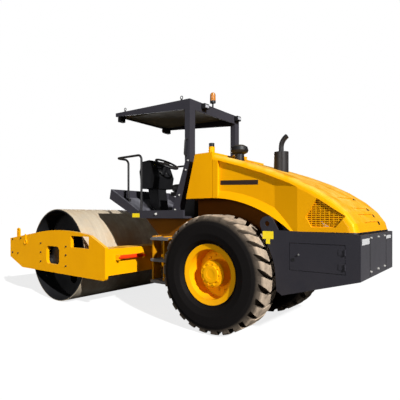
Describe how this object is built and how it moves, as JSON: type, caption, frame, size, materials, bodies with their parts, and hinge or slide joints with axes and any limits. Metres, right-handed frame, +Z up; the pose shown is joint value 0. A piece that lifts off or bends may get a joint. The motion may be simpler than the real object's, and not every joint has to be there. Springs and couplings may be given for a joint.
{
  "type": "single-drum soil roller",
  "caption": "Articulated single-drum soil roller with a smooth drum in a plate frame, lugged rear tyres, an open canopy and a hinged hood.",
  "frame": {"origin": "on the floor under the middle of the machine's length and width", "axes": "+X forward towards the drum, +Y to the left, +Z up"},
  "size_m": [6.07, 2.3, 3.2373],
  "materials": {
    "yellow_paint": "gloss enamel",
    "gray_paint": "satin enamel",
    "black_paint": "satin enamel",
    "black_plastic": "moulded, fine grain",
    "tyre": "matt",
    "worn_steel": "rolled and dusty",
    "rod_chrome": "polished",
    "cast_iron": "painted casting",
    "lock_red": "gloss enamel",
    "seat_vinyl": "vinyl",
    "lamp_glass": "clear lens over a reflector",
    "amber": "clear amber"
  },
  "bodies": {
    "rear_frame": {"rear_frame": "yellow_paint", "rear_axle": "gray_paint", "rear_box": "gray_paint", "side_panel_left": "gray_paint", "side_panel_right": "gray_paint", "engine_block": "cast_iron", "tank": "yellow_paint", "filler_neck": "yellow_paint", "filler_cap": "black_plastic", "platform": "gray_paint", "platform_brackets": "yellow_paint", "ladder_left": "yellow_paint", "ladder_right": "yellow_paint", "handrail_left": "black_paint", "handrail_right": "black_paint", "console": "black_plastic", "steering_wheel": "black_plastic", "seat_base": "black_paint", "seat_cushion": "seat_vinyl", "seat_back": "seat_vinyl", "control_box": "black_plastic", "post_left": "gray_paint", "post_right": "gray_paint", "roof": "gray_paint", "front_lamps": "black_plastic", "rear_lamps": "lamp_glass", "beacon_stand": "black_plastic", "beacon_dome": "amber"},
    "door_left": {"door_left": "gray_paint"},
    "door_right": {"door_right": "gray_paint"},
    "hood": {"hood": "yellow_paint", "hood_grilles": "yellow_paint", "precleaner": "black_plastic", "muffler": "black_paint", "hood_hinges": "yellow_paint"},
    "wheel_left": {"tyre_left": "tyre", "rim_left": "yellow_paint"},
    "wheel_right": {"tyre_right": "tyre", "rim_right": "yellow_paint"},
    "knuckle": {"knuckle": "yellow_paint"},
    "drum_frame": {"side_plate_left": "yellow_paint", "side_plate_right": "yellow_paint", "front_beam": "yellow_paint", "rear_beam": "yellow_paint", "drum_mount_left": "gray_paint", "drum_mount_right": "gray_paint", "scrapers": "yellow_paint", "lock_bar": "lock_red"},
    "drum": {"drum": "worn_steel"},
    "barrel_left": {"barrel_left": "black_paint"},
    "barrel_right": {"barrel_right": "black_paint"},
    "rod_left": {"rod_left": "rod_chrome"},
    "rod_right": {"rod_right": "rod_chrome"}
  },
  "joints": [
    {"name": "steer", "type": "hinge", "parent": "rear_frame", "child": "knuckle", "pos_m": [-0.105, 0, 0.71], "axis": [0, 0, 1], "range_deg": [-33, 33]},
    {"name": "roll", "type": "hinge", "parent": "knuckle", "child": "drum_frame", "pos_m": [0.235, 0, 0.71], "axis": [1, 0, 0], "range_deg": [-11, 11]},
    {"name": "drum_spin", "type": "hinge", "parent": "drum_frame", "child": "drum", "pos_m": [1.585, 0, 0.77], "axis": [0, 1, 0], "continuous": true},
    {"name": "wheel_left_spin", "type": "hinge", "parent": "rear_frame", "child": "wheel_left", "pos_m": [-1.405, 0.735, 0.72], "axis": [0, 1, 0], "continuous": true},
    {"name": "wheel_right_spin", "type": "hinge", "parent": "rear_frame", "child": "wheel_right", "pos_m": [-1.405, -0.735, 0.72], "axis": [0, 1, 0], "continuous": true},
    {"name": "hood_lift", "type": "hinge", "parent": "rear_frame", "child": "hood", "pos_m": [-1.308, 0, 2.254], "axis": [0, 1, 0], "range_deg": [0, 50]},
    {"name": "door_left_swing", "type": "hinge", "parent": "rear_frame", "child": "door_left", "pos_m": [-2.8975, 0.748, 0.99], "axis": [0, 0, 1], "range_deg": [0, 110]},
    {"name": "door_right_swing", "type": "hinge", "parent": "rear_frame", "child": "door_right", "pos_m": [-2.8975, -0.748, 0.99], "axis": [0, 0, -1], "range_deg": [0, 110]},
    {"name": "barrel_left_swing", "type": "hinge", "parent": "rear_frame", "child": "barrel_left", "pos_m": [-0.815, 0.33, 0.71], "axis": [0, 0, 1], "range_deg": [-2.2, 2.2]},
    {"name": "rod_left_slide", "type": "slide", "parent": "barrel_left", "child": "rod_left", "axis": [0.9811, -0.1935, 0], "range_m": [-0.11, 0.11]},
    {"name": "barrel_right_swing", "type": "hinge", "parent": "rear_frame", "child": "barrel_right", "pos_m": [-0.815, -0.33, 0.71], "axis": [0, 0, 1], "range_deg": [-2.2, 2.2]},
    {"name": "rod_right_slide", "type": "slide", "parent": "barrel_right", "child": "rod_right", "axis": [0.9811, 0.1935, 0], "range_m": [-0.11, 0.11]}
  ],
  "couplings": [
    {"joint": "barrel_left_swing", "follows": "steer", "ratio": -0.0586},
    {"joint": "rod_left_slide", "follows": "steer", "m_per_rad": -0.1746},
    {"joint": "barrel_right_swing", "follows": "steer", "ratio": -0.0586},
    {"joint": "rod_right_slide", "follows": "steer", "m_per_rad": 0.1746}
  ]
}
